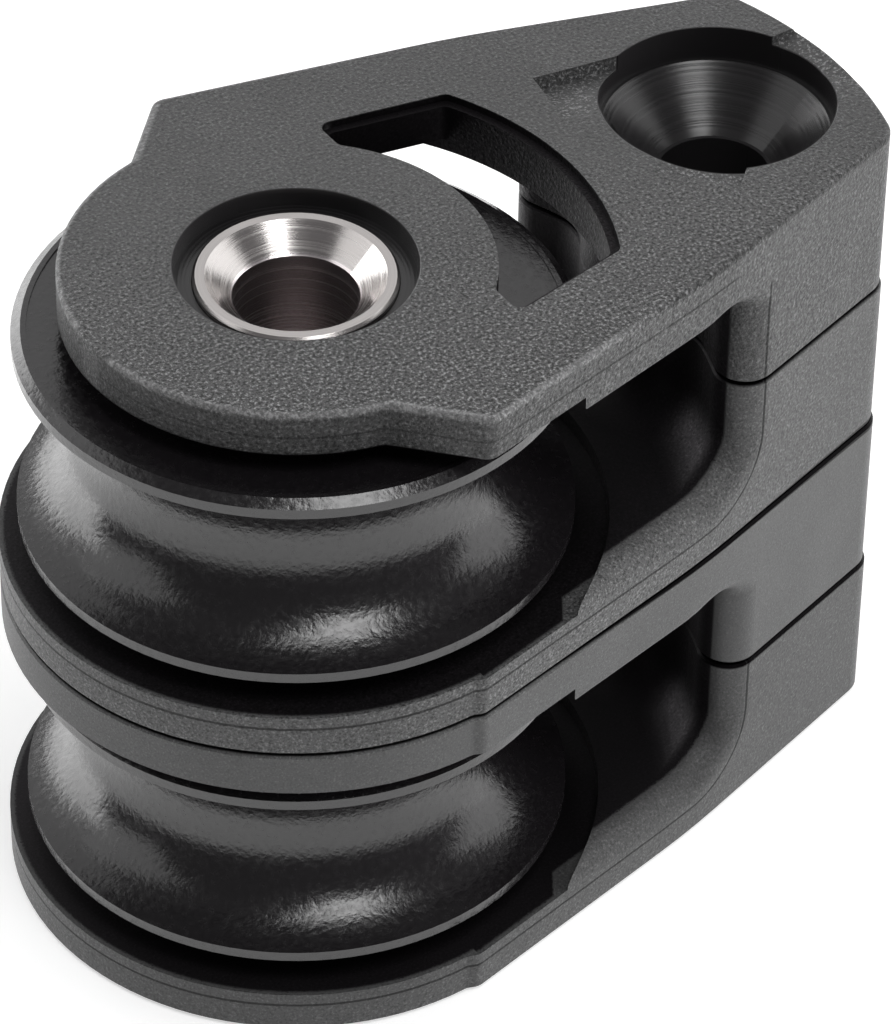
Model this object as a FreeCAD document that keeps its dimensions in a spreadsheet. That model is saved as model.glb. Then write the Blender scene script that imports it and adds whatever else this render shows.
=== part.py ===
import FreeCAD, Part
import math
import os
import re

import Sketcher
from FreeCAD import Rotation, Vector

# Double cheek block: two cheek blocks stacked on one base, each with a grooved sheave between
# two moulded shells. Millimetres, +Z up. The origin is on the sheave axis where it meets the
# surface that the block is screwed to, and +X points along the block to its tail screw.

os.makedirs("parts", exist_ok=True)
doc = FreeCAD.newDocument("double_cheek_block")

# Half width of the shells at the shoulder, and the place where their sides begin to bend
SHOULDER = "(head_radius + shoulder_stand)"
BEND_START = "bend_place - bend_radius * tan((tail_taper - side_taper) / 2)"

# Driving dimensions in millimetres, and degrees where the name says taper
SIZES = {
    # Stack: a unit is a lower shell and an upper shell that meet at a seam
    "unit_height": 13.4,
    "lower_shell": 6.45,
    "strap": 2.45,
    "head_wall": 1.75,
    # Outline of the shells, seen from above
    "head_radius": 10.7,
    "flank_foot": 0.5,
    "top_head_radius": 8.35,
    "top_flank_foot": -1.7,
    "shoulder_place": 0.9,
    "shoulder_stand": 0.15,
    "shoulder_round": 0.6,
    "side_taper": 12.8,
    "bend_place": 12.2,
    "bend_radius": 40.0,
    "tail_taper": 17.5,
    "tail_end": 23.05,
    "tail_growth": 0.13,
    "tail_arc_radius": 15.0,
    "tail_corner": 1.2,
    "flank_round": 0.4,
    # Room for the sheave inside the head
    "recess_stand": 0.55,
    "boss_radius": 4.6,
    # Passage for the rope, between the head and the tail post
    "passage_radius": 15.2,
    "tail_boss_radius": 4.75,
    "post_round": 2.1,
    "lower_floor_round": 1.8,
    "upper_floor_round": 1.1,
    "mouth_round": 0.25,
    "mouth_flare": 1.15,
    # Edges
    "top_edge": 0.16,
    "joint_edge": 0.25,
    "crisp_edge": 0.15,
    "seam_edge": 0.15,
    # Gap round the pads on which two shells sit
    "seam_gap": 0.12,
    "head_pad_radius": 9.4,
    "tail_pad_radius": 4.35,
    # Screw hole in the tail
    "hole_spacing": 18.05,
    "tail_hole": 2.05,
    "tail_step": 0.15,
    "tail_seat_radius": 4.18,
    "tail_seat_depth": 1.37,
    "tail_counterbore": 4.31,
    # Axle tube and its opening in the top shell
    "tube_radius": 3.0,
    "tube_bore": 2.25,
    "tube_fit": 0.02,
    "rim_radius": 3.63,
    "rim_thickness": 0.88,
    "rim_depth": 0.47,
    "rim_edge": 0.1,
    "rim_land": 0.43,
    "opening_radius": 4.31,
    "opening_depth": 0.75,
    # Crescent slot over the rope
    "slot_inner_radius": 7.05,
    "slot_outer_radius": 11.35,
    "slot_start": 5.0,
    "slot_half_width": 6.43,
    "slot_taper": 11.0,
    "slot_corner": 0.4,
    "slot_ledge": 0.32,
    "slot_ledge_depth": 0.3,
    # Ramped reliefs beside the tail hole: each falls to a step at a distance from the hole's
    # axis, and spans two distances to the right of that. The end ramp falls along +Y, and the
    # others along a direction given by their turn
    "end_ramp_step": 1.95,
    "end_ramp_length": 4.7,
    "end_ramp_depth": 0.6,
    "end_ramp_near": 3.0,
    "end_ramp_far": 5.4,
    "rear_ramp_turn": 81.0,
    "rear_ramp_step": 3.73,
    "rear_ramp_length": 2.9,
    "rear_ramp_depth": 0.62,
    "rear_ramp_near": -5.6,
    "rear_ramp_far": -1.5,
    "front_ramp_turn": -48.0,
    "front_ramp_step": 1.9,
    "front_ramp_length": 3.7,
    "front_ramp_depth": 0.25,
    "front_ramp_near": 2.5,
    "front_ramp_far": 5.0,
    # Sheaves
    "sheave_radius": 10.0,
    "sheave_width": 8.3,
    "hub_radius": 4.4,
    "hub_gap": 0.15,
    "running_gap": 0.05,
    "groove_radius": 3.55,
    "groove_root": 7.0,
    "bevel_width": 0.35,
    "bevel_drop": 0.25,
    "land_width": 0.2,
    "land_step": 0.06,
}

sheet = doc.addObject("Spreadsheet::Sheet", "sizes")
for row, (alias, value) in enumerate(SIZES.items(), 1):
    sheet.set(f"A{row}", alias)
    sheet.set(f"B{row}", str(value))
    sheet.setAlias(f"B{row}", alias)
worked_out = doc.addObject("Spreadsheet::Sheet", "worked_out")
doc.recompute()


def size(alias):
    """A driving dimension, read back from the sheet."""
    return float(sheet.get(alias))


def formula(text):
    """An expression in which each alias is written with the name of its sheet."""
    return re.sub(r"[a-z_]+", lambda word: "sizes." + word[0] if word[0] in SIZES else word[0], text)


def bind(item, **properties):
    """Drive properties of an object by expressions in the sheet's aliases."""
    for name, text in properties.items():
        item.setExpression(name.replace("_at_", "."), formula(text))
    return item


def cylinder(name, radius, bottom, height, centre="0"):
    item = doc.addObject("Part::Cylinder", name)
    bind(item, Radius=radius, Height=height)
    return bind(item, Placement_at_Base_at_x=centre, Placement_at_Base_at_z=bottom)


def cone(name, lower_radius, upper_radius, bottom, height, centre="0"):
    item = doc.addObject("Part::Cone", name)
    bind(item, Radius1=lower_radius, Radius2=upper_radius, Height=height)
    return bind(item, Placement_at_Base_at_x=centre, Placement_at_Base_at_z=bottom)


def extrusion(name, sketch, bottom, height):
    item = doc.addObject("Part::Extrusion", name)
    item.Base = sketch
    item.DirMode = "Custom"
    item.Dir = Vector(0, 0, 1)
    item.Solid = True
    return bind(item, LengthFwd=height, Placement_at_Base_at_z=bottom)


def cut(name, base, tool):
    item = doc.addObject("Part::Cut", name)
    item.Base = base
    item.Tool = tool
    return item


def fuse(name, *pieces):
    item = doc.addObject("Part::MultiFuse", name)
    item.Shapes = list(pieces)
    return item


def common(name, *pieces):
    item = doc.addObject("Part::MultiCommon", name)
    item.Shapes = list(pieces)
    return item


def middle(edge):
    return edge.valueAt((edge.FirstParameter + edge.LastParameter) / 2)


def upright(edge):
    """Whether an edge is a straight vertical line."""
    ends = [vertex.Point for vertex in edge.Vertexes]
    if len(ends) < 2:
        return False
    across = math.hypot(ends[0].x - ends[1].x, ends[0].y - ends[1].y)
    return across < 1e-4 and abs(ends[0].z - ends[1].z) > 1e-3


def rounded(name, base, radius_at, kind="Part::Fillet"):
    """Fillet or chamfer the edges for which radius_at(edge) gives radii at their two ends.

    The edges are listed from the top down, because a chain of edges takes its direction, and
    so the order of the two radii, from the first of them.
    """
    doc.recompute()
    item = doc.addObject(kind, name)
    item.Base = base
    chosen = []
    for number, edge in enumerate(base.Shape.Edges, 1):
        radii = radius_at(edge)
        if radii:
            chosen.append((round(-middle(edge).z, 3), number, *radii))
    item.Edges = [entry[1:] for entry in sorted(chosen)]
    return item


def rim_at(base, height, radius):
    """Give one radius to each edge round the largest flat face at a height."""
    doc.recompute()
    flat = [face for face in base.Shape.Faces
            if face.Surface.TypeId == "Part::GeomPlane"
            and all(abs(vertex.Point.z - height) < 1e-6 for vertex in face.Vertexes)]
    rim = max(flat, key=lambda face: face.Area).OuterWire.Edges
    return lambda edge: (radius, radius) if any(edge.isSame(other) for other in rim) else None


def value(text):
    """What an expression in the sheet's aliases comes to."""
    worked_out.set("A1", "=" + formula(text))
    worked_out.recompute()
    return float(worked_out.get("A1"))


def dimension(sketch, reference, text):
    """Add a sketch dimension that an expression drives."""
    start = math.radians(value(text)) if reference[0] == "Angle" else value(text)
    number = sketch.addConstraint(Sketcher.Constraint(*reference, start))
    sketch.setExpression(f"Constraints[{number}]", formula(text))


def draw_profile(sketch, points, arc=None):
    """Close a profile through corners given as pairs of expressions.

    arc gives the number of the side that is an arc, its centre on the first axis and its
    radius. The ends of that side lie where the arc meets their first coordinate.
    """
    corners = [Vector(value(along), value(across), 0) for along, across in points]
    count = len(corners)
    for index, corner in enumerate(corners):
        following = corners[(index + 1) % count]
        shape = Part.LineSegment(corner, following)
        if arc and index == arc[0]:
            middle_point = Vector(value(arc[1]) - value(arc[2]), 0, 0)
            shape = Part.Arc(corner, middle_point, following)
        sketch.addGeometry(shape, False)

    def end_of(index, last):
        """Reference to the first or last end of a side; an arc may be stored backwards."""
        corner = corners[(index + 1) % count] if last else corners[index]
        return 1 if sketch.getPoint(index, 1).distanceToPoint(corner) < 1e-6 else 2

    for index in range(count):
        following = (index + 1) % count
        reference = (index, end_of(index, True), following, end_of(following, False))
        sketch.addConstraint(Sketcher.Constraint("Coincident", *reference))
    for index, (along, across) in enumerate(points):
        dimension(sketch, ("DistanceX", index, end_of(index, False)), along)
        if not arc or index not in (arc[0], (arc[0] + 1) % count):
            dimension(sketch, ("DistanceY", index, end_of(index, False)), across)
    if arc:
        dimension(sketch, ("Radius", arc[0]), arc[2])
        dimension(sketch, ("DistanceX", arc[0], 3), arc[1])
        sketch.addConstraint(Sketcher.Constraint("PointOnObject", arc[0], 3, -1))


def revolved(label, level, points, arc=None):
    """A turned piece: a profile of radius and height, revolved about the upright axis."""
    body = doc.addObject("PartDesign::Body", label)
    body.Label = label
    plane = next(item for item in body.Origin.OriginFeatures if item.Role == "XZ_Plane")
    sketch = body.newObject("Sketcher::SketchObject", label + "_profile")
    sketch.AttachmentSupport = [(plane, "")]
    sketch.MapMode = "FlatFace"
    draw_profile(sketch, points, arc)
    turned = body.newObject("PartDesign::Revolution", label + "_turned")
    turned.Profile = sketch
    turned.ReferenceAxis = (sketch, ["V_Axis"])
    turned.Angle = 360
    return bind(body, Placement_at_Base_at_z=level)


def outline(name, head, foot, tail):
    """Plan of a shell behind the head's disc: foot on the disc, shoulder, bend and tail arc.

    The side runs straight from the shoulder, bends gently on an arc, and runs straight again
    to the tail's arc, whose furthest point is given by tail. The lower half mirrors the upper.
    """
    sketch = doc.addObject("Sketcher::SketchObject", name)
    taper = math.radians(size("side_taper"))
    slope = math.radians(size("tail_taper"))
    reach = size("bend_radius")
    centre = Vector(value(tail) - size("tail_arc_radius"), 0, 0)
    foot_point = Vector(size(foot), math.sqrt(size(head) ** 2 - size(foot) ** 2), 0)
    shoulder = Vector(size("shoulder_place"), value(SHOULDER), 0)
    start = Vector(size("bend_place") - reach * math.tan((slope - taper) / 2), 0, 0)
    start.y = shoulder.y - (start.x - shoulder.x) * math.tan(taper)
    hub = start - Vector(math.sin(taper), math.cos(taper), 0) * reach
    end = hub + Vector(math.sin(slope), math.cos(slope), 0) * reach
    heading = Vector(math.cos(slope), -math.sin(slope), 0)
    offset = end - centre
    along = heading * offset
    room = along ** 2 - offset * offset + size("tail_arc_radius") ** 2
    last = end + heading * (math.sqrt(room) - along)
    turn = math.atan2(last.y, last.x - centre.x)
    up = Vector(0, 0, 1)

    def mirrored(point):
        return Vector(point.x, -point.y, 0)

    quarter = math.pi / 2
    upper_bend = Part.ArcOfCircle(Part.Circle(hub, up, reach), quarter - slope, quarter - taper)
    lower_bend = Part.ArcOfCircle(Part.Circle(mirrored(hub), up, reach), taper - quarter, slope - quarter)
    tail_arc = Part.ArcOfCircle(Part.Circle(centre, up, size("tail_arc_radius")), -turn, turn)
    for shape in (
        Part.LineSegment(foot_point, shoulder),
        Part.LineSegment(shoulder, start),
        upper_bend,
        Part.LineSegment(end, last),
        tail_arc,
        Part.LineSegment(mirrored(last), mirrored(end)),
        lower_bend,
        Part.LineSegment(mirrored(start), mirrored(shoulder)),
        Part.LineSegment(mirrored(shoulder), mirrored(foot_point)),
        Part.LineSegment(mirrored(foot_point), foot_point),
    ):
        sketch.addGeometry(shape, False)
    for reference in (
        ("Coincident", 0, 2, 1, 1),
        ("Tangent", 1, 2, 2, 2),
        ("Tangent", 2, 1, 3, 1),
        ("Coincident", 3, 2, 4, 2),
        ("Coincident", 4, 1, 5, 1),
        ("Coincident", 5, 2, 6, 2),
        ("Coincident", 6, 1, 7, 1),
        ("Coincident", 7, 2, 8, 1),
        ("Coincident", 8, 2, 9, 1),
        ("Coincident", 9, 2, 0, 1),
        ("Symmetric", 0, 1, 8, 2, -1),
        ("Symmetric", 1, 1, 7, 2, -1),
        ("Symmetric", 1, 2, 7, 1, -1),
        ("Symmetric", 3, 1, 5, 2, -1),
        ("Symmetric", 3, 2, 5, 1, -1),
        ("Equal", 2, 6),
    ):
        sketch.addConstraint(Sketcher.Constraint(*reference))
    dimension(sketch, ("DistanceX", 0, 1), foot)
    dimension(sketch, ("DistanceY", 0, 1), f"sqrt({head}^2 - {foot}^2)")
    dimension(sketch, ("DistanceX", 1, 1), "shoulder_place")
    dimension(sketch, ("DistanceY", 1, 1), SHOULDER)
    dimension(sketch, ("Angle", 1), "-side_taper")
    dimension(sketch, ("Angle", 3), "-tail_taper")
    dimension(sketch, ("Radius", 2), "bend_radius")
    dimension(sketch, ("DistanceX", 1, 2), BEND_START)
    dimension(sketch, ("Radius", 4), "tail_arc_radius")
    dimension(sketch, ("DistanceX", 4, 3), f"{tail} - tail_arc_radius")
    return sketch


def half_width(place):
    """Half width of the outline at a place, with its bend as a plain corner."""
    ahead = min(place, size("bend_place")) - size("shoulder_place")
    behind = max(place - size("bend_place"), 0)
    taper = math.radians(size("side_taper"))
    slope = math.radians(size("tail_taper"))
    shoulder = size("head_radius") + size("shoulder_stand")
    return shoulder - ahead * math.tan(taper) - behind * math.tan(slope)


def on_side(point):
    """Whether a point lies on the outer side of a shell, ahead of the tail's corner."""
    slack = 0.1
    return abs(abs(point.y) - half_width(point.x)) < slack and point.x < size("hole_spacing")


def relieved(name, base, bottom, *pads):
    """Cut a thin layer off a shell's flat face, round the pads that it sits on."""
    slab = cylinder(name + "_slab", "2 * tail_end", bottom, "1 + seam_gap / 2")
    for number, (radius, centre) in enumerate(pads):
        pad = cylinder(f"{name}_pad_{number}", radius, f"{bottom} - 1", "4", centre)
        slab = cut(f"{name}_round_{number}", slab, pad)
    return cut(name, base, slab)


def shell(name, height, head, foot, growths, joined, outer_edge, outer_kind="Part::Fillet"):
    """Half of a cheek block: outer face on z = 0, and the post's seam face on top.

    A strap carries the head's disc and the post. The head is thinner over the sheave, with a
    boss round the axle. The edges of the rope's way out open like the mouth of a bell: up the
    post, and along the strap from its shoulder as well in a lower shell. The tail reaches further
    by a number of growths. A joined shell sits on another unit with its outer face.
    """
    lower = height == "lower_shell"
    floor_round = size("lower_floor_round" if lower else "upper_floor_round")
    shoulder = size("shoulder_place") + size("shoulder_round")
    plan = outline(name + "_outline", head, foot, f"(tail_end + {growths} * tail_growth)")
    blank = extrusion(name + "_blank", plan, "0", height)
    doc.recompute()
    seam = float(blank.LengthFwd)

    def corner_radius(edge):
        place = middle(edge).x
        if upright(edge) and abs(place - size("shoulder_place")) < 1e-4:
            return size("shoulder_round"), size("shoulder_round")
        if upright(edge) and place > size("hole_spacing"):
            return size("tail_corner"), size("tail_corner")
        return None

    blank = rounded(name + "_corners", blank, corner_radius)
    sweep = cylinder(name + "_sweep", "passage_radius", "strap", height)
    pillar = cylinder(name + "_pillar", "tail_boss_radius", "0", "2 * " + height, "hole_spacing")
    hollow = cut(name + "_hollow", blank, cut(name + "_passage", sweep, pillar))

    def junction_radius(edge):
        """Upright hollows where the boss of the tail screw meets the post's wall."""
        point = middle(edge)
        near = math.hypot(point.x - size("hole_spacing"), point.y)
        if upright(edge) and abs(near - size("tail_boss_radius")) < 1e-3:
            return size("post_round"), size("post_round")
        return None

    hollow = rounded(name + "_junctions", hollow, junction_radius)

    def floor_radius(edge):
        """Where the post's inner wall stands on the strap."""
        points = [vertex.Point for vertex in edge.Vertexes] + [middle(edge)]
        low = all(abs(point.z - size("strap")) < 1e-4 for point in points)
        if low and not all(on_side(point) for point in points) and middle(edge).x > size("bend_place"):
            return floor_round, floor_round
        return None

    hollow = rounded(name + "_floor", hollow, floor_radius)

    def mouth_radius(point):
        """Rounding of the edge of the rope's way out at a point."""
        on_strap = point.z < size("strap") + 1e-4
        narrow = on_strap and (not lower or point.x < shoulder)
        return size("mouth_round" if narrow else "mouth_flare")

    def side_radius(edge):
        """Edge of the rope's way out, along the strap and up the post."""
        points = [vertex.Point for vertex in edge.Vertexes] + [middle(edge)]
        lowest = min(point.z for point in points)
        highest = max(point.z for point in points)
        if lowest < size("strap") - 1e-4 or lowest > seam - 1e-4:
            return None
        if highest < size("strap") + 1e-4 and middle(edge).x < shoulder and abs(middle(edge).y) > 1:
            return size("mouth_round"), size("mouth_round")
        if not all(on_side(point) for point in points):
            return None
        ends = sorted(points[:2], key=lambda point: -point.x)
        return mouth_radius(ends[0]), mouth_radius(ends[1])

    hollow = rounded(name + "_mouth", hollow, side_radius)
    disc = cylinder(name + "_disc", head, "0", "strap")
    hollow = fuse(name + "_headed", hollow, disc)
    recess = cylinder(name + "_recess", "head_radius + recess_stand", "head_wall", "strap")
    boss = cylinder(name + "_boss", "boss_radius", "0", "2 * strap")
    hollow = cut(name + "_roomy", hollow, cut(name + "_room", recess, boss))

    def flank_radius(edge):
        """Upright hollow between the head's disc and the flank."""
        if upright(edge) and abs(middle(edge).x - size(foot)) < 1e-3 and middle(edge).z < size("strap"):
            return size("flank_round"), size("flank_round")
        return None

    hollow = rounded(name + "_flanks", hollow, flank_radius)
    hollow = rounded(name + "_seam", hollow, rim_at(hollow, seam, size("seam_edge")), "Part::Chamfer")
    hollow = rounded(name + "_edge", hollow, rim_at(hollow, 0, size(outer_edge)), outer_kind)
    tail_pad = ("tail_pad_radius", "hole_spacing")
    hollow = relieved(name + "_seam_relief", hollow, f"{height} - seam_gap / 2", tail_pad)
    if joined:
        hollow = relieved(name + "_joint_relief", hollow, "-1", tail_pad, ("head_pad_radius", "0"))
    axle_hole = cylinder(name + "_axle_hole", "tube_radius + tube_fit", "-1", "2 * strap + 1")
    tail_hole = cylinder(name + "_tail_hole", "tail_hole", "-1", f"{height} + 2", "hole_spacing")
    return cut(name + "_bored", hollow, fuse(name + "_holes", axle_hole, tail_hole))


def finished(label, item, level, flipped):
    """Name a finished piece and set it at its height, upside down for an upper shell."""
    item.Label = label
    bind(item, Placement_at_Base_at_z=level)
    if flipped:
        item.Placement.Rotation = Rotation(Vector(1, 0, 0), 180)
        bind(item, Placement_at_Base_at_z=level)
    return item


UPPER_SHELL = "unit_height - lower_shell"
CHAMBER = "(unit_height - 2 * strap)"


def slot_tool(name, shrink, depth):
    """A crescent between two arcs about the sheave axis, whose ends taper with the sides."""
    sketch = doc.addObject("Sketcher::SketchObject", name + "_window")
    near = f"(slot_half_width - {shrink})"
    far = f"({near} - (slot_outer_radius - slot_start) * tan(slot_taper))"
    draw_profile(sketch, [
        ("slot_start", near),
        ("slot_start", "-" + near),
        ("slot_outer_radius", "-" + far),
        ("slot_outer_radius", far),
    ])
    window = extrusion(name + "_block", sketch, "-1", f"1 + {depth}")
    outer = cylinder(name + "_outer", f"slot_outer_radius - {shrink}", "-1", f"1 + {depth}")
    inner = cylinder(name + "_inner", "slot_inner_radius", "-2", f"3 + {depth}")
    crescent = cut(name + "_crescent", common(name + "_band", window, outer), inner)

    def end_radius(edge):
        return (size("slot_corner"), size("slot_corner")) if upright(edge) else None

    return rounded(name + "_tool", crescent, end_radius)


def end_ramp_tool():
    """Relief at the tail's end: two floors fall to the corner between its step and the seat."""
    item = doc.addObject("Part::Wedge", "end_ramp")
    spread = "(1 + 1 / end_ramp_depth)"
    bind(item, Xmin=f"-end_ramp_near - (end_ramp_far - end_ramp_near) * {spread}")
    bind(item, Xmax="-end_ramp_near", X2min="-end_ramp_near", X2max="-end_ramp_near")
    item.Ymin = -1
    bind(item, Ymax="end_ramp_depth")
    bind(item, Zmin="-end_ramp_step", Zmax=f"end_ramp_length * {spread} - end_ramp_step")
    bind(item, Z2min="-end_ramp_step", Z2max="-end_ramp_step")
    item.Placement.Rotation = Rotation(Vector(0, 1, 1), 180)
    return bind(item, Placement_at_Base_at_x="hole_spacing")


def ramp_tool(name):
    """A wedge whose floor falls along its direction and ends at an abrupt step."""
    item = doc.addObject("Part::Wedge", name)
    bind(item, Xmin=f"-{name}_far", X2min=f"-{name}_far", Xmax=f"-{name}_near", X2max=f"-{name}_near")
    bind(item, Ymin=f"{name}_step - {name}_length", Ymax=f"{name}_step")
    item.Zmin = -1
    item.Z2min = -1
    item.Zmax = 0
    bind(item, Z2max=f"{name}_depth")
    item.Placement.Rotation = Rotation(Vector(0, 0, 1), 1)
    bind(item, Placement_at_Base_at_x="hole_spacing")
    return bind(item, Placement_at_Rotation_at_Angle=f"-{name}_turn - 90")


def top_shell():
    """Upper shell of the upper unit, with the seats of both screws and the slot over the rope."""
    body = shell("top", UPPER_SHELL, "top_head_radius", "top_flank_foot", 0, False, "top_edge")
    opening = cylinder("top_opening", "opening_radius", "-1", "1 + opening_depth")
    rim_seat = cylinder("top_rim_seat", "rim_radius + tube_fit", "-1", "1 + rim_depth + rim_thickness")
    counterbore = cylinder("top_counterbore", "tail_counterbore", "-1", "1 + tail_seat_depth", "hole_spacing")
    seat_depth = "tail_seat_radius - tail_hole - tail_step"
    seat = cone("top_seat", "tail_seat_radius", "tail_hole + tail_step", "tail_seat_depth",
                seat_depth, "hole_spacing")
    tools = [opening, rim_seat, counterbore, seat]
    tools.append(slot_tool("top_slot", "slot_ledge", "strap + 1"))
    tools.append(slot_tool("top_slot_rim", "0", "slot_ledge_depth"))
    tools += [end_ramp_tool(), ramp_tool("rear_ramp"), ramp_tool("front_ramp")]
    for tool in tools:
        body = cut("cut_for_" + tool.Name, body, tool)
    return body


def sheave(label, level):
    """A grooved sheave with thin lips, running on its hub between the bosses of two shells."""
    hub = f"({CHAMBER} / 2 - hub_gap)"
    face = "(sheave_width / 2 - land_step)"
    land = "(sheave_radius - bevel_width - land_width)"
    upper = [
        ("sheave_radius", "sqrt(groove_radius^2 - (groove_root + groove_radius - sheave_radius)^2)"),
        ("sheave_radius", "sheave_width / 2 - bevel_drop"),
        ("sheave_radius - bevel_width", "sheave_width / 2"),
        (land, "sheave_width / 2"),
        (land, face),
        ("hub_radius", face),
        ("hub_radius", hub),
        ("tube_radius + running_gap", hub),
    ]
    lower = [(along, f"-({across})") for along, across in reversed(upper)]
    groove = (len(upper) + len(lower) - 1, "groove_root + groove_radius", "groove_radius")
    return revolved(label, level, upper + lower, groove)


def centre_tube():
    """Tube through all four shells, with a countersunk rim in the top shell's opening."""
    top = "(2 * unit_height - rim_depth)"
    land = "(rim_radius - rim_land)"
    return revolved("centre_tube", "0", [
        ("tube_bore", "0"),
        ("tube_radius", "0"),
        ("tube_radius", f"{top} - rim_thickness"),
        ("rim_radius", f"{top} - rim_thickness"),
        ("rim_radius", f"{top} - rim_edge"),
        ("rim_radius - rim_edge", top),
        (land, top),
        ("tube_bore", f"{top} - ({land} - tube_bore)"),
    ])


PLAIN = ("head_radius", "flank_foot")
CRISP = ("crisp_edge", "Part::Chamfer")
nodes = [
    finished("base_cheek", shell("base", "lower_shell", *PLAIN, 3, False, *CRISP), "0", False),
    finished("lower_inner_cheek", shell("joint", UPPER_SHELL, *PLAIN, 2, True, *CRISP), "unit_height", True),
    finished(
        "upper_inner_cheek",
        shell("middle", "lower_shell", *PLAIN, 1, True, "joint_edge"),
        "unit_height",
        False,
    ),
    finished("upper_outer_cheek", top_shell(), "2 * unit_height", True),
    sheave("lower_sheave", "unit_height / 2"),
    sheave("upper_sheave", "unit_height * 3 / 2"),
    centre_tube(),
]

doc.recompute()
for item in doc.Objects:
    if "Invalid" in item.State or "Error" in item.State:
        raise RuntimeError(f"{item.Name} failed: {item.State}")
for node in nodes:
    if node.Shape.isNull() or not node.Shape.isValid() or len(node.Shape.Solids) != 1:
        raise RuntimeError(f"{node.Label} is not one valid solid")
for node in nodes:
    node.Shape.exportStep(f"parts/{node.Label}.step")
    print(node.Label, round(node.Shape.Volume, 2))
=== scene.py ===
"""Looks of the double cheek block: moulded shells, black sheaves, turned tube, floor, light and camera.

Sizes in the materials are millimetres from the frame's origin: the tube's axis is x = y = 0, the tail
lies towards +x, and the base rests on z = 0.
"""
import math
from collections import namedtuple

import bpy
import numpy as np
from mathutils import Matrix, Vector

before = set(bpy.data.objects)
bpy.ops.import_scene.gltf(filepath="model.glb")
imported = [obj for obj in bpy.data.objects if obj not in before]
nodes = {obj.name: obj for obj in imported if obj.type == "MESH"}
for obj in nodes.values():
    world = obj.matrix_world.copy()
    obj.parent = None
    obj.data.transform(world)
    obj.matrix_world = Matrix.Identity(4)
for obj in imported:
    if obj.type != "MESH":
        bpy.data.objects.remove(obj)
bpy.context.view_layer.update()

MM = 0.001

# Levels of the joints between the shells, and of the top face
LOW_JOINT, MID_JOINT, HIGH_JOINT, HEIGHT = 6.45, 13.4, 19.85, 26.8
# Outline from above: round head, straight side from SIDE_FROM, steeper from SIDE_BEND to the tail
HEAD_RADIUS, CAP_RADIUS = 10.7, 8.35
SIDE_FROM, SIDE_HALF, SIDE_SLOPE = 0.9, 10.85, 0.2272
SIDE_BEND, TAIL_SLOPE = 12.2, 0.3153
# The top shell's own straight front edges: a point on each, and the direction square to them
FRONT_X, FRONT_Y, FRONT_ALONG, FRONT_ACROSS = -1.5, 8.2, 0.721, 0.693
# Smooth inside of the rope's way, coloured near black as painted shade: lift over the outer face, and reach
# from the axle
WAY_LIFT, WAY_REACH = 1.7, 15.5
# Mould line round the way's mouth: lift over the outer face, x of its upright part, radius between
MOUTH_LIFT, MOUTH_BACK, MOUTH_TURN = 1.25, 15.3, 2.95
# Tail bore, turned seats, and the crescent slot
TAIL_X, SEAT_RADIUS = 18.05, 4.33
SLOT_INNER, SLOT_OUTER, SLOT_HALF, SLOT_FRONT = 7.0, 11.45, 6.3, 3.0

# Near black of the smooth inside: painted shade in the rope's way, the recesses and the slot
SHADED_INSIDE = (0.0105, 0.009, 0.0105, 1.0)
# Light colour of painted highlights: along the top edge round the head, and glints on the ramps' specks
PAINTED_HIGHLIGHT = (0.26, 0.26, 0.262, 1.0)
# Near black painted shade in the joints between the shells
JOINT_SHADE = (0.005, 0.0045, 0.005, 1.0)
CUT_DARK, CUT_LIGHT = (0.008, 0.0075, 0.008, 1.0), (0.02, 0.019, 0.02, 1.0)
ACETAL_DARK, ACETAL_LIGHT = (0.005, 0.0045, 0.005, 1.0), (0.011, 0.0095, 0.011, 1.0)
STEEL_DARK, STEEL_LIGHT = (0.40, 0.38, 0.37, 1.0), (0.62, 0.595, 0.58, 1.0)
# Lighter steel in the bore: painted light
LIT_BORE_STEEL = (0.8, 0.75, 0.75, 1.0)
FLOOR_DARK, FLOOR_LIGHT = (0.64, 0.64, 0.64, 1.0), (0.68, 0.68, 0.68, 1.0)
ROOM, ROOM_MIRRORED = (0.08, 0.08, 0.08, 1.0), (0.17, 0.165, 0.17, 1.0)
WHITE = (1.0, 1.0, 1.0, 1.0)


def shader_group(name, inputs, outputs):
    """An empty shader group, and its inputs and outputs as sockets inside it.

    inputs and outputs are rows of (kind, name, start value).
    """
    group = bpy.data.node_groups.new(name, "ShaderNodeTree")
    for way, rows in (("INPUT", inputs), ("OUTPUT", outputs)):
        for kind, label, start in rows:
            socket = group.interface.new_socket(name=label, in_out=way, socket_type="NodeSocket" + kind)
            if start is not None:
                socket.default_value = start
    given = group.nodes.new("NodeGroupInput").outputs
    shown = group.nodes.new("NodeGroupOutput").inputs
    return group, given, shown


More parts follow.
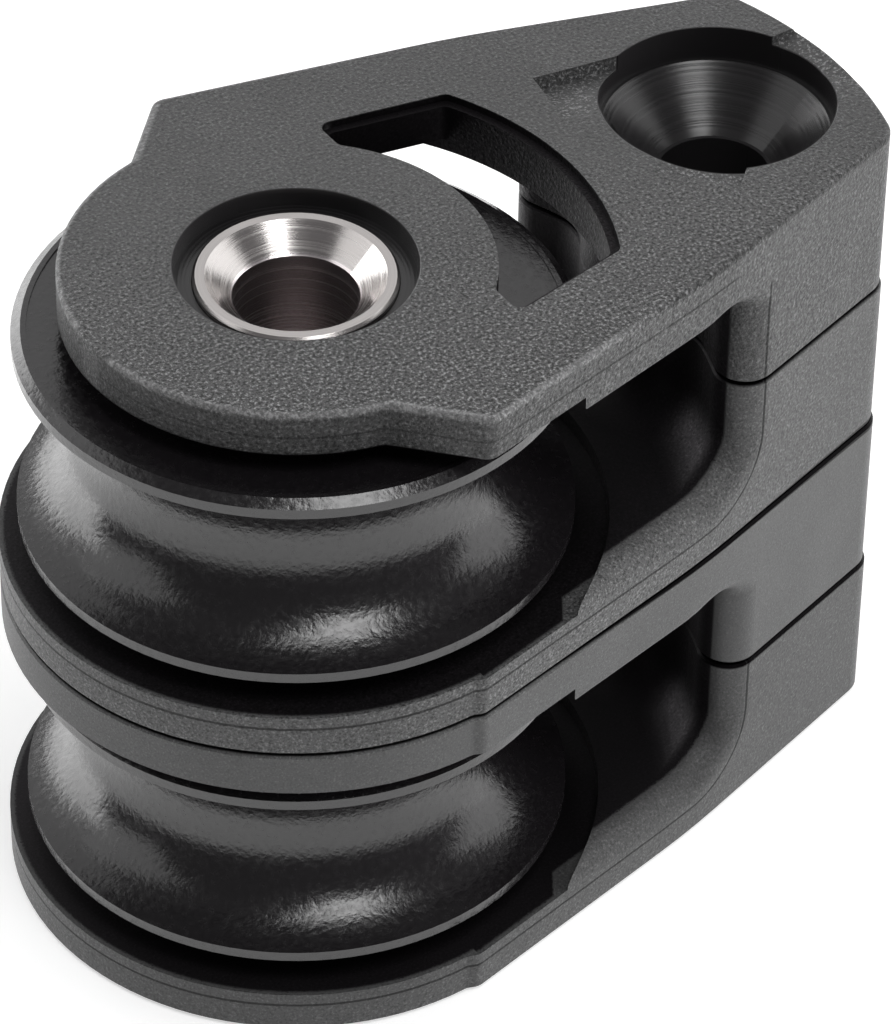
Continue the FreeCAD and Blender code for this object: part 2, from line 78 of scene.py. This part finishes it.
class Wiring:
    """Short words for adding nodes to one node tree and joining them."""

    def __init__(self, tree):
        self.tree = tree

    def feed(self, socket, value):
        """Links a socket to another one, or sets it to a plain value."""
        if isinstance(value, bpy.types.NodeSocket):
            self.tree.links.new(value, socket)
        else:
            socket.default_value = value

    def put(self, kind, **given):
        """Adds a node; a name that the node has as an attribute is set, any other is an input."""
        node = self.tree.nodes.new("ShaderNode" + kind)
        for key, value in given.items():
            if hasattr(node, key):
                setattr(node, key, value)
            else:
                self.feed(node.inputs[key.replace("_", " ")], value)
        return node

    def math(self, operation, *values):
        """Joins the values two by two with Math nodes of one kind; a single value goes through one node."""
        total, *others = values
        for other in others or (0.0,):
            node = self.put("Math", operation=operation)
            self.feed(node.inputs[0], total)
            self.feed(node.inputs[1], other)
            total = node.outputs[0]
        return total

    def add(self, *values):
        return self.math("ADD", *values)

    def less(self, *values):
        """The first value without all the others."""
        return self.math("SUBTRACT", *values)

    def times(self, *values):
        return self.math("MULTIPLY", *values)

    def most(self, *values):
        return self.math("MAXIMUM", *values)

    def least(self, *values):
        return self.math("MINIMUM", *values)

    def off(self, value, centre):
        """Distance of a value from a centre, to either side."""
        return self.math("ABSOLUTE", self.less(value, centre))

    def length(self, first, second):
        """Length of a level vector given by its two coordinates."""
        return self.math("SQRT", self.add(self.times(first, first), self.times(second, second)))

    def span(self, value, low, high, to_low=0.0, to_high=1.0, smooth=True):
        """Carries value from low..high to to_low..to_high, held at both ends."""
        node = self.put("MapRange", interpolation_type="SMOOTHSTEP" if smooth else "LINEAR")
        for socket, given in zip(node.inputs, (value, low, high, to_low, to_high)):
            self.feed(socket, given)
        return node.outputs[0]

    def mix(self, share, first, second):
        """Colour from first to second as the share goes from 0 to 1."""
        node = self.put("Mix", data_type="RGBA")
        for index, value in ((0, share), (6, first), (7, second)):
            self.feed(node.inputs[index], value)
        return node.outputs[2]

    def toned(self, colour, tone):
        """A colour made lighter or darker by a factor."""
        return self.put("HueSaturation", Color=colour, Value=tone).outputs[0]

    def noise(self, place, scale, detail=2.0, roughness=0.5):
        """Noise with about scale grains to the millimetre."""
        node = self.put("TexNoise", Vector=place, Scale=scale, Detail=detail, Roughness=roughness)
        return node.outputs[0]

    def place(self):
        """Object coordinates of the piece, in millimetres."""
        metres = self.put("TexCoord").outputs["Object"]
        return self.put("VectorMath", operation="SCALE", Vector=metres, Scale=1.0 / MM).outputs[0]

    def axes(self, place):
        """The three coordinates of a place."""
        return tuple(self.put("SeparateXYZ", Vector=place).outputs)

    def relief(self, shader, height):
        """Gives the shader's skin a relief; the height is in millimetres."""
        bump = self.put("Bump", Strength=1.0, Distance=MM, Height=height)
        self.feed(shader.inputs["Normal"], bump.outputs[0])


def grain_group():
    """Moulded grain: soft pits and rises, with sharp bright and dark specks of glass fibre among them.

    Specks is above 0 where a speck is bright and below 0 where it is dark; Speck share widens both.
    """
    group, given, shown = shader_group(
        "moulded_grain",
        [("Vector", "Place", None), ("Float", "Grains per mm", 6.0), ("Float", "Speck share", 0.5)],
        [("Float", "Height", None), ("Float", "Specks", None)],
    )
    w = Wiring(group)
    place, rate, share = given["Place"], given["Grains per mm"], given["Speck share"]
    soft = w.noise(place, rate, 3.0, 0.6)
    specks = w.noise(place, w.times(rate, 1.3), 2.0, 0.7)
    bright = w.span(specks, w.less(0.62, w.times(share, 0.1)), 0.68)
    dark = w.span(specks, w.add(0.4, w.times(share, 0.08)), 0.36, 0.0, 0.5)
    w.feed(shown["Height"], w.add(soft, w.times(specks, 0.5)))
    w.feed(shown["Specks"], w.less(bright, dark))
    return group


def outline_group():
    """Where a point lies in a shell.

    Inset is how deep it is inside the outline seen from above, Height how far from the shell's outer
    face, and Mouth line the mask of the line that the mould leaves round the mouth of the rope's way.
    """
    group, given, shown = shader_group(
        "shell_outline",
        [("Vector", "Place", None), ("Float", "Outer face", 0.0), ("Float", "Way up", 1.0)],
        [("Float", "Inset", None), ("Float", "Height", None), ("Float", "Mouth line", None)],
    )
    w = Wiring(group)
    x, y, z = w.axes(given["Place"])
    ahead = w.less(w.least(x, SIDE_BEND), SIDE_FROM)
    behind = w.most(w.less(x, SIDE_BEND), 0.0)
    half = w.less(SIDE_HALF, w.times(ahead, SIDE_SLOPE), w.times(behind, TAIL_SLOPE))
    side = w.less(half, w.math("ABSOLUTE", y))
    head = w.less(HEAD_RADIUS, w.length(x, y))
    on_side = w.math("GREATER_THAN", x, SIDE_FROM)
    w.feed(shown["Inset"], w.add(w.times(on_side, side), w.times(w.less(1.0, on_side), head)))
    height = w.times(w.less(z, given["Outer face"]), given["Way up"])
    w.feed(shown["Height"], height)
    across = w.most(w.less(MOUTH_TURN, w.less(MOUTH_BACK, x)), 0.0)
    above = w.most(w.less(MOUTH_TURN, w.less(height, MOUTH_LIFT)), 0.0)
    w.feed(shown["Mouth line"], w.span(w.off(w.length(across, above), MOUTH_TURN), 0.075, 0.03))
    return group


GRAIN = grain_group()
OUTLINE = outline_group()

# Finish of a shell: bare colour, grains to the millimetre, share of specks, their strength, relief; the
# base shell's colour is made darker as painted shade
Look = namedtuple("Look", "colour grains share strength depth")
# Masks of further work on a shell: smooth inside with painted shade, turned seats, dark mould lines with
# painted shade, turning rings with a painted light ring, painted highlights
Marks = namedtuple("Marks", "inner turned line rings wear", defaults=(0.0, 0.0, 0.0, 0.0))


def plain_marks(w, axes, plan, grain, smooth_shaded_inside):
    """A shell with no more than its grain."""
    return Marks(smooth_shaded_inside)


def mouth_marks(w, axes, plan, grain, smooth_shaded_inside):
    """A shell with the line that its mould leaves round the mouth of the rope's way."""
    return Marks(smooth_shaded_inside, line=plan["Mouth line"])


def top_marks(w, axes, plan, grain, smooth_shaded_inside):
    """The top shell: turned seats, painted shade in the slot, mould lines, painted shade below the edge and
    down the head's side, a painted highlight along the top edge, and painted glints on the ramps' specks.
    """
    x, y, z = axes
    below = w.less(HEIGHT, z)
    from_side = w.math("ABSOLUTE", y)
    from_axle = w.length(x, y)
    from_tail = w.length(w.less(x, TAIL_X), y)
    turned = w.most(w.span(from_tail, SEAT_RADIUS + 0.03, SEAT_RADIUS),
                    w.span(from_axle, SEAT_RADIUS + 0.03, SEAT_RADIUS))
    front = w.less(w.times(w.less(x, FRONT_X), FRONT_ALONG),
                   w.times(w.less(from_side, FRONT_Y), FRONT_ACROSS))
    rim = w.most(w.less(CAP_RADIUS, from_axle), w.least(plan["Inset"], front))

    # Painted shade in the crescent slot, which counts as smooth inside
    slot = w.times(
        w.span(from_axle, SLOT_INNER - 0.05, SLOT_INNER), w.span(from_axle, SLOT_OUTER + 0.05, SLOT_OUTER),
        w.span(from_side, SLOT_HALF + 0.1, SLOT_HALF), w.span(x, SLOT_FRONT - 0.1, SLOT_FRONT),
        w.span(below, 0.02, 0.08))

    # Dark lines: the mould line under the edge and the one up the post; painted shade as a dark band right
    # below the straight edge, and painted shade down the head's side
    edge = w.times(w.span(w.off(below, 1.02), 0.07, 0.03), w.span(x, 13.4, 13.1), 0.8)
    post = w.times(w.span(w.off(x, 15.25), 0.075, 0.03), w.span(below, 2.2, 2.7))
    brow_shade = w.times(w.span(w.off(below, 0.15), 0.15, 0.05), w.span(x, 6.0, 10.0, 0.0, 0.5))
    shade = w.times(w.span(below, 0.1, 0.3), w.span(x, 6.0, -2.0, 0.0, 0.5))
    line = w.times(w.most(edge, brow_shade, post, shade), w.span(rim, 0.5, 0.3))

    # Turning rings round both seats, and a painted light ring down in the tail's bore
    across = w.put("CombineXYZ", X=w.least(from_tail, from_axle)).outputs[0]
    rings = w.span(w.noise(across, 7.0, 3.0, 0.7), 0.35, 0.65)
    rings = w.most(rings, w.times(w.span(from_tail, 2.5, 2.3), 1.6))

    # A painted highlight along the top edge round the head, and painted glints on the specks of the ramps
    # beside the tail's seat
    highlight = w.times(w.span(below, 0.3, 0.1), w.span(rim, 0.24, 0.1), w.span(x, 10.0, 6.0),
                   w.span(grain["Specks"], -0.2, 0.5, 0.35, 1.0))
    ramp = w.times(w.span(below, 0.03, 0.1), w.span(below, 0.8, 0.75), w.span(rim, 0.9, 1.1),
                   w.span(x, 11.5, 12.0, 0.0, 0.7), w.span(grain["Specks"], 0.1, 0.6))
    highlight = w.most(highlight, w.less(ramp, slot))
    return Marks(w.most(smooth_shaded_inside, slot), turned, line, rings, highlight)


def new_material(name):
    """A material with one Principled shader, and the words to wire it with."""
    material = bpy.data.materials.new(name)
    material.use_nodes = True
    return material, material.node_tree.nodes["Principled BSDF"], Wiring(material.node_tree)


def shell_material(name, look, outer_face, way_up, marks):
    """Glass-filled nylon as it comes from the mould.

    The outside has a light speckled grain. The inside of the rope's way is smooth and painted nearly black
    as shade, and the joints between the shells are painted nearly black as shade too. Metallic is raised
    where this painted shade has to lose the skin's white gloss. marks adds the further work on one shell.
    """
    material, shader, w = new_material(name)
    place = w.place()
    grain = w.put("Group", node_tree=GRAIN, Place=place,
                  Grains_per_mm=look.grains, Speck_share=look.share).outputs
    plan = w.put("Group", node_tree=OUTLINE, Place=place, Outer_face=outer_face, Way_up=way_up).outputs
    x, y, z = axes = w.axes(place)

    # The smooth inside, painted near black as shade, starts a ragged step in from the outline, further in
    # behind the head
    bound = w.span(x, 4.9, 5.6, 0.12, 1.02, smooth=False)
    ragged = w.add(plan["Inset"], w.times(grain["Specks"], 0.1))
    smooth_shaded_inside = w.times(w.span(plan["Height"], WAY_LIFT, WAY_LIFT + 0.04),
                    w.span(w.less(ragged, bound), 0.0, 0.14),
                    w.span(w.length(x, y), WAY_REACH + 0.1, WAY_REACH))
    smooth_shaded_inside, turned, line, rings, highlight = marks(w, axes, plan, grain, smooth_shaded_inside)

    # Painted shade in the joints: the lowest joint is drawn a little wider than the highest, and the middle
    # one widens to the tail
    outer_joints = w.least(w.off(z, LOW_JOINT), w.off(z, HIGH_JOINT))
    outer_joints = w.less(outer_joints, w.span(z, 6.0, 7.2, 0.1, 0.0))
    mid_joint = w.less(w.off(z, MID_JOINT), w.span(x, 4.0, 22.0, -0.04, 0.17, smooth=False))
    joint_shade = w.span(w.least(outer_joints, mid_joint), 0.15, 0.07)

    # Specks stand out more towards -y, the near side in the photo, and less away from the outer face
    cloud = w.span(w.noise(place, 0.32, 3.0), 0.3, 0.7, 0.92, 1.08)
    near = w.span(w.add(y, w.times(x, 0.35)), 4.0, -8.0,
                  0.65 * look.strength, 2.6 * look.strength, smooth=False)
    near = w.times(near, w.span(plan["Height"], 0.1, 0.3, 1.0, 0.45))
    tone = w.most(w.times(cloud, w.add(1.0, w.times(grain["Specks"], near))), 0.15)
    # Mould lines and painted shade darken the tone
    tone = w.times(tone, w.less(1.0, w.times(line, 0.8)))

    skin = (look.colour, look.colour, look.colour * 1.01, 1.0)
    base = w.mix(smooth_shaded_inside, w.toned(skin, tone), w.toned(SHADED_INSIDE, tone))
    # Painted highlights, then painted shade in the joints
    base = w.mix(joint_shade, w.mix(highlight, base, PAINTED_HIGHLIGHT), JOINT_SHADE)
    w.feed(shader.inputs["Base Color"], w.mix(turned, base, w.mix(rings, CUT_DARK, CUT_LIGHT)))
    # Metallic takes the diffuse light and most gloss off the painted shade of the inside, the joints and
    # the dark lines
    w.feed(shader.inputs["Metallic"], w.most(w.times(smooth_shaded_inside, 0.78), joint_shade, w.times(line, 0.6)))
    glint = w.times(w.less(1.0, turned), grain["Specks"])
    w.feed(shader.inputs["Roughness"], w.less(0.55, w.times(turned, 0.3), w.times(glint, 0.12)))

    grainy = w.less(1.0, w.most(w.times(smooth_shaded_inside, 0.6), turned))
    rise = w.less(w.times(grain["Height"], look.depth, grainy), w.times(line, 0.02))
    w.relief(shader, w.add(rise, w.times(rings, turned, 0.003)))
    return material


def sheave_material():
    """Polished black acetal with the fine hammered skin that its mould leaves."""
    material, shader, w = new_material("sheave_acetal")
    place = w.place()
    ripple = w.noise(place, 4.2)
    fine = w.noise(place, 9.0)
    shader.inputs["IOR"].default_value = 1.62
    w.feed(shader.inputs["Base Color"], w.mix(fine, ACETAL_DARK, ACETAL_LIGHT))
    w.feed(shader.inputs["Roughness"], w.span(ripple, 0.3, 0.7, 0.17, 0.28))
    w.relief(shader, w.times(w.add(ripple, w.times(fine, 0.35)), 0.014))
    return material


def tube_material():
    """Stainless steel, turned: fine rings round the tube's axis in colour, roughness and height, and a
    lighter steel in the bore as painted light.
    """
    material, shader, w = new_material("tube_stainless")
    x, y, z = w.axes(w.place())
    radius = w.length(x, y)
    rings = w.noise(w.put("CombineXYZ", X=radius, Z=z).outputs[0], 14.0, 2.0, 0.6)
    bore = w.span(radius, 2.35, 2.3)
    shader.inputs["Metallic"].default_value = 1.0
    w.feed(shader.inputs["Base Color"], w.mix(bore, w.mix(rings, STEEL_DARK, STEEL_LIGHT), LIT_BORE_STEEL))
    w.feed(shader.inputs["Roughness"], w.span(rings, 0.3, 0.7, 0.16, 0.3))
    w.relief(shader, w.times(rings, 0.005))
    return material


def floor_material():
    """Pale matt table top that shows white to the camera, keeps the shadow and has a faint paper grain."""
    material, shader, w = new_material("floor_white")
    light = w.put("LightPath").outputs
    shader.inputs["Roughness"].default_value = 0.7
    shader.inputs["Emission Color"].default_value = WHITE
    w.feed(shader.inputs["Base Color"], w.mix(w.noise(w.place(), 0.9, 3.0), FLOOR_DARK, FLOOR_LIGHT))
    w.feed(shader.inputs["Emission Strength"],
           w.most(w.times(light["Is Camera Ray"], 0.55), light["Is Glossy Ray"]))
    return material


def dress(name, material):
    """Gives a CAD node its material."""
    data = nodes[name].data
    data.materials.clear()
    data.materials.append(material)


TOP_LOOK = Look(0.062, 6.0, 0.9, 1.45, 0.08)
SIDE_LOOK = Look(0.07, 7.5, 0.8, 1.4, 0.03)
SMOOTH_LOOK = Look(0.07, 10.0, 0.6, 0.45, 0.012)
# The base shell's darker colour is painted shade near the floor
SHADED_BASE_LOOK = Look(0.048, 7.5, 0.8, 0.9, 0.02)
dress("upper_outer_cheek", shell_material("shell_top", TOP_LOOK, HEIGHT, -1.0, top_marks))
dress("upper_inner_cheek", shell_material("shell_upper_inner", SIDE_LOOK, MID_JOINT, 1.0, mouth_marks))
dress("lower_inner_cheek", shell_material("shell_lower_inner", SMOOTH_LOOK, MID_JOINT, -1.0, plain_marks))
dress("base_cheek", shell_material("shell_base", SHADED_BASE_LOOK, 0.0, 1.0, mouth_marks))
SHEAVE = sheave_material()
dress("upper_sheave", SHEAVE)
dress("lower_sheave", SHEAVE)
dress("centre_tube", tube_material())


def flat_grid(name, half, count, height):
    """A square grid in one level: x and y each run from -half to +half in equal steps, z is the height."""
    steps = np.linspace(-half, half, count)
    x, y = np.meshgrid(steps, steps, indexing="ij")
    points = np.stack([x, y, np.full_like(x, height)], axis=-1).reshape(-1, 3)
    index = np.arange(count * count).reshape(count, count)
    corners = [index[:-1, :-1], index[1:, :-1], index[1:, 1:], index[:-1, 1:]]
    faces = np.stack(corners, axis=-1).reshape(-1, 4)
    mesh = bpy.data.meshes.new(name)
    mesh.from_pydata(points.tolist(), [], faces.tolist())
    piece = bpy.data.objects.new(name, mesh)
    bpy.context.scene.collection.objects.link(piece)
    return piece


floor = flat_grid("floor", half=1.2, count=9, height=-0.02 * MM)
floor.data.materials.append(floor_material())

# The camera sees a white room; the block is lit by a dim one, and mirrors one that is a little lighter
world = bpy.data.worlds.new("studio")
bpy.context.scene.world = world
world.use_nodes = True
w = Wiring(world.node_tree)
backdrop = world.node_tree.nodes["Background"]
light = w.put("LightPath").outputs
dim = w.mix(light["Is Glossy Ray"], ROOM, ROOM_MIRRORED)
w.feed(backdrop.inputs["Color"], w.mix(light["Is Camera Ray"], dim, WHITE))
backdrop.inputs["Strength"].default_value = 1.0

LAMP_DISTANCE = 0.5
LAMPS_AIM = Vector((0.004, 0.0, 0.012))


def softbox(name, azimuth, elevation, width, height, power, mirrored=True):
    """A rectangular area lamp that looks at the block; azimuth 0 is -Y, 90 is +X.

    Angles are degrees, sizes metres and power watts. mirrored is whether gloss shows the lamp.
    """
    a, e = math.radians(azimuth), math.radians(elevation)
    out = Vector((math.sin(a) * math.cos(e), -math.cos(a) * math.cos(e), math.sin(e)))
    lamp = bpy.data.lights.new(name, "AREA")
    lamp.shape = "RECTANGLE"
    lamp.size, lamp.size_y = width, height
    lamp.energy = power
    piece = bpy.data.objects.new(name, lamp)
    piece.location = LAMPS_AIM + out * LAMP_DISTANCE
    piece.visible_glossy = mirrored
    piece.rotation_mode = "QUATERNION"
    piece.rotation_quaternion = (-out).to_track_quat("-Z", "Y")
    bpy.context.scene.collection.objects.link(piece)


softbox("key_softbox", 0, 67, 0.18, 0.28, 1.05)
softbox("side_fill", 58, 15, 0.5, 0.25, 1.75, mirrored=False)
softbox("right_panel", 85, 15, 0.6, 0.4, 1.2)
softbox("back_panel", 150, 38, 1.0, 0.6, 1.4)
softbox("left_panel", -165, 8, 0.45, 0.35, 1.7)
softbox("left_high_panel", -125, 33, 0.36, 0.3, 0.36)

# The camera as fitted to the photo: place in millimetres, directions, and focal length in pixels
CAMERA_PLACE = Vector((-90.176, -140.446, 156.055))
CAMERA_RIGHT = Vector((0.830298, -0.557125, 0.014746)).normalized()
CAMERA_AHEAD = Vector((0.434169, 0.630010, -0.643882)).normalized()
FOCAL_PIXELS, PICTURE_PIXELS, SENSOR = 6072.4, 1024.0, 36.0

camera_data = bpy.data.cameras.new("camera")
camera_data.sensor_fit = "AUTO"
camera_data.sensor_width = SENSOR
camera_data.lens = FOCAL_PIXELS * SENSOR / PICTURE_PIXELS
camera_data.shift_y = -0.5 / PICTURE_PIXELS
camera_data.clip_start, camera_data.clip_end = 0.01, 10.0
camera = bpy.data.objects.new("camera", camera_data)
up = CAMERA_RIGHT.cross(CAMERA_AHEAD).normalized()
turn = Matrix((CAMERA_RIGHT, up, -CAMERA_AHEAD)).transposed()
camera.matrix_world = Matrix.Translation(CAMERA_PLACE * MM) @ turn.to_4x4()
bpy.context.scene.collection.objects.link(camera)
bpy.context.scene.camera = camera

bpy.context.scene.view_settings.view_transform = "Standard"
